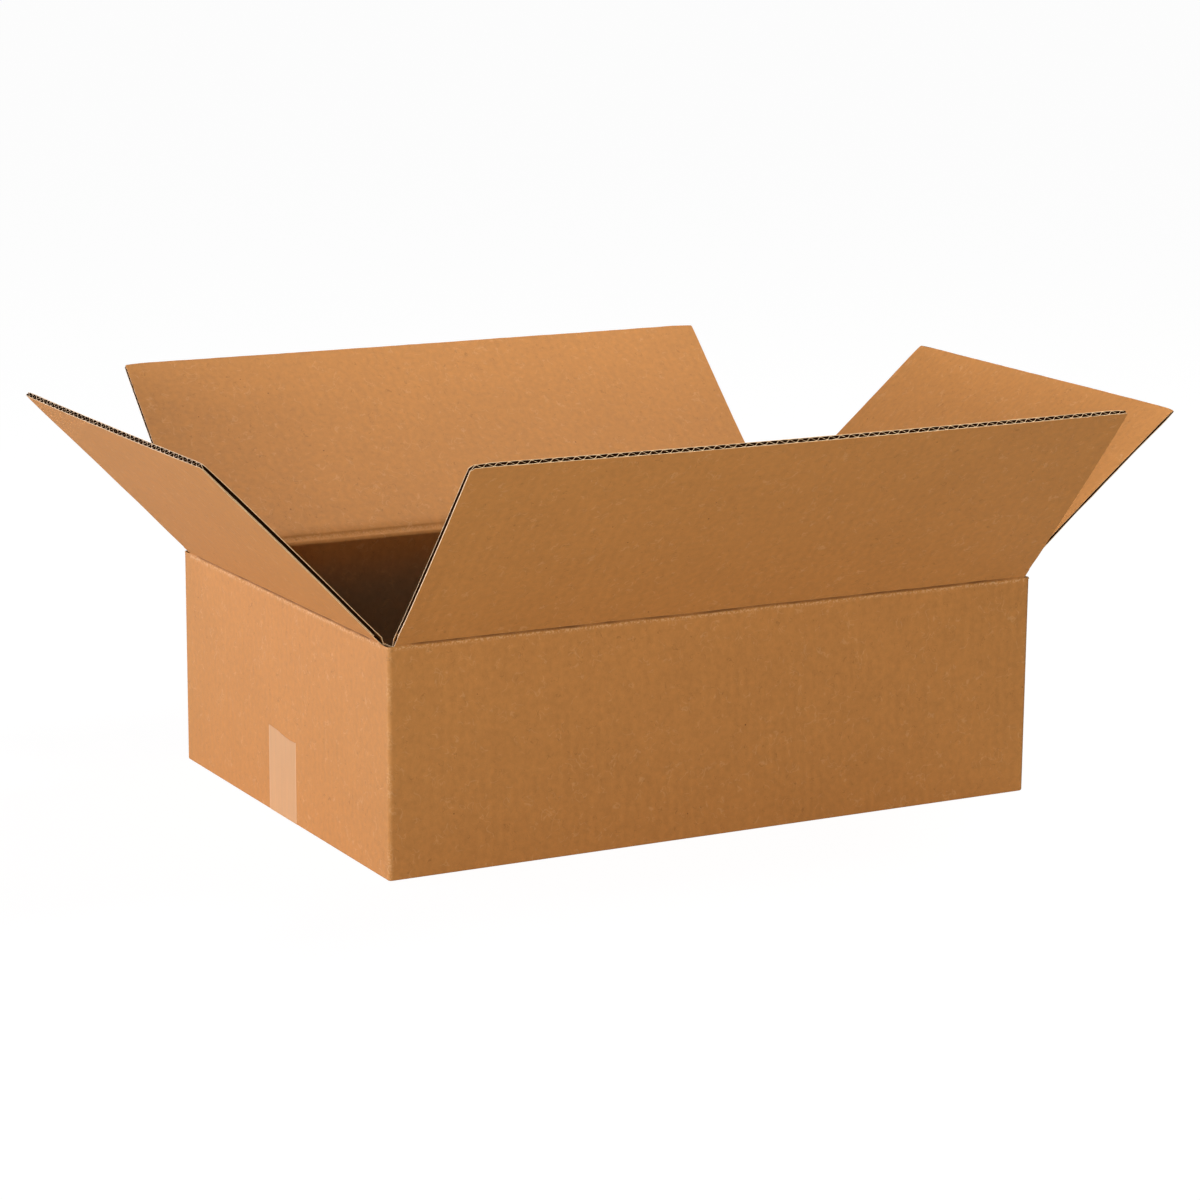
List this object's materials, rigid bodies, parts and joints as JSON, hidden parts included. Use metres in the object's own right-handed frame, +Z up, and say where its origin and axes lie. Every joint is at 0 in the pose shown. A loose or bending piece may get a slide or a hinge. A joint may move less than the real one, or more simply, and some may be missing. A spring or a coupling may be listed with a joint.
{
  "type": "open cardboard box",
  "caption": "Low rectangular corrugated carton with its four top flaps folded outwards and its bottom seam taped shut.",
  "frame": {"origin": "centre of the underside, on the sealing tape's outer face", "axes": "+X along the carton's length, -Y out of the front long wall, +Z up"},
  "size_m": [0.7797, 0.609, 0.302],
  "materials": {
    "kraft_board": "matt unbleached kraft facing",
    "kraft_flap": "matt unbleached kraft facing, fluted section open at the cut edges",
    "paper_tape": "smooth light tan, slight sheen"
  },
  "bodies": {
    "carton": {"carton_body": "kraft_board", "sealing_tape": "paper_tape"},
    "front_flap": {"front_flap": "kraft_flap"},
    "back_flap": {"back_flap": "kraft_flap"},
    "left_flap": {"left_flap": "kraft_flap"},
    "right_flap": {"right_flap": "kraft_flap"}
  },
  "joints": [
    {"name": "front_crease", "type": "hinge", "parent": "carton", "child": "front_flap", "pos_m": [0, -0.1798, 0.16387], "axis": [1, 0, 0], "range_deg": [-130, 100]},
    {"name": "back_crease", "type": "hinge", "parent": "carton", "child": "back_flap", "pos_m": [0, 0.1798, 0.16387], "axis": [-1, 0, 0], "range_deg": [-136.5, 93.5]},
    {"name": "left_crease", "type": "hinge", "parent": "carton", "child": "left_flap", "pos_m": [-0.256, 0, 0.16127], "axis": [0, -1, 0], "range_deg": [-135, 95]},
    {"name": "right_crease", "type": "hinge", "parent": "carton", "child": "right_flap", "pos_m": [0.256, 0, 0.16127], "axis": [0, 1, 0], "range_deg": [-141, 89]}
  ]
}
